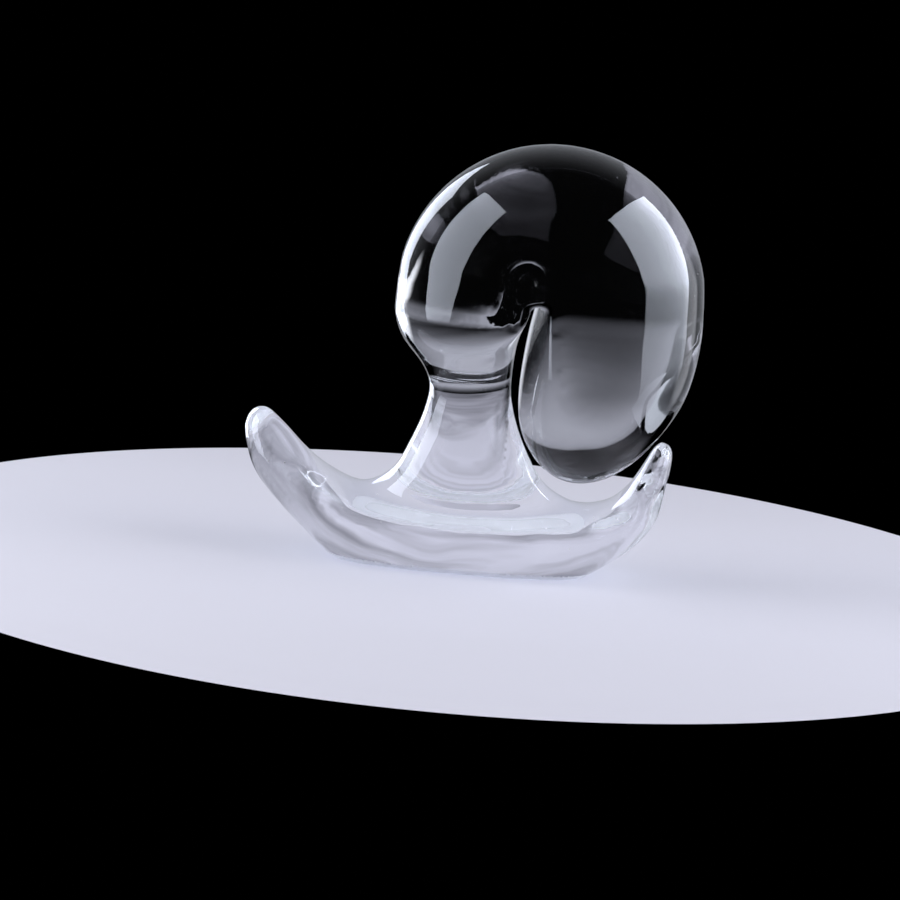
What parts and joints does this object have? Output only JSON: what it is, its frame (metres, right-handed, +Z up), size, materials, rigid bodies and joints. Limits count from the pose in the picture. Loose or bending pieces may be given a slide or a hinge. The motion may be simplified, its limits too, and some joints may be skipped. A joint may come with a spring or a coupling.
{
  "type": "crystal ball",
  "caption": "Hand-held form of solid clear glass: a fat bulb bent over a short round neck, on a rocker-shaped foot with two upturned horns and a ground flat underneath.",
  "frame": {"origin": "on the neck's axis, in the ground face under the foot", "axes": "+Z up along the neck, +X along the foot from horn to horn, towards the side that the bulb bends over; -Y is the side that the hanging lobe leans towards"},
  "size_m": [0.1175, 0.0642, 0.1138],
  "materials": {
    "glass": "clear colourless solid glass, fire polished, with a ground flat underneath"
  },
  "bodies": {
    "root": {"bulb": "glass", "neck": "glass", "foot": "glass"}
  },
  "joints": []
}
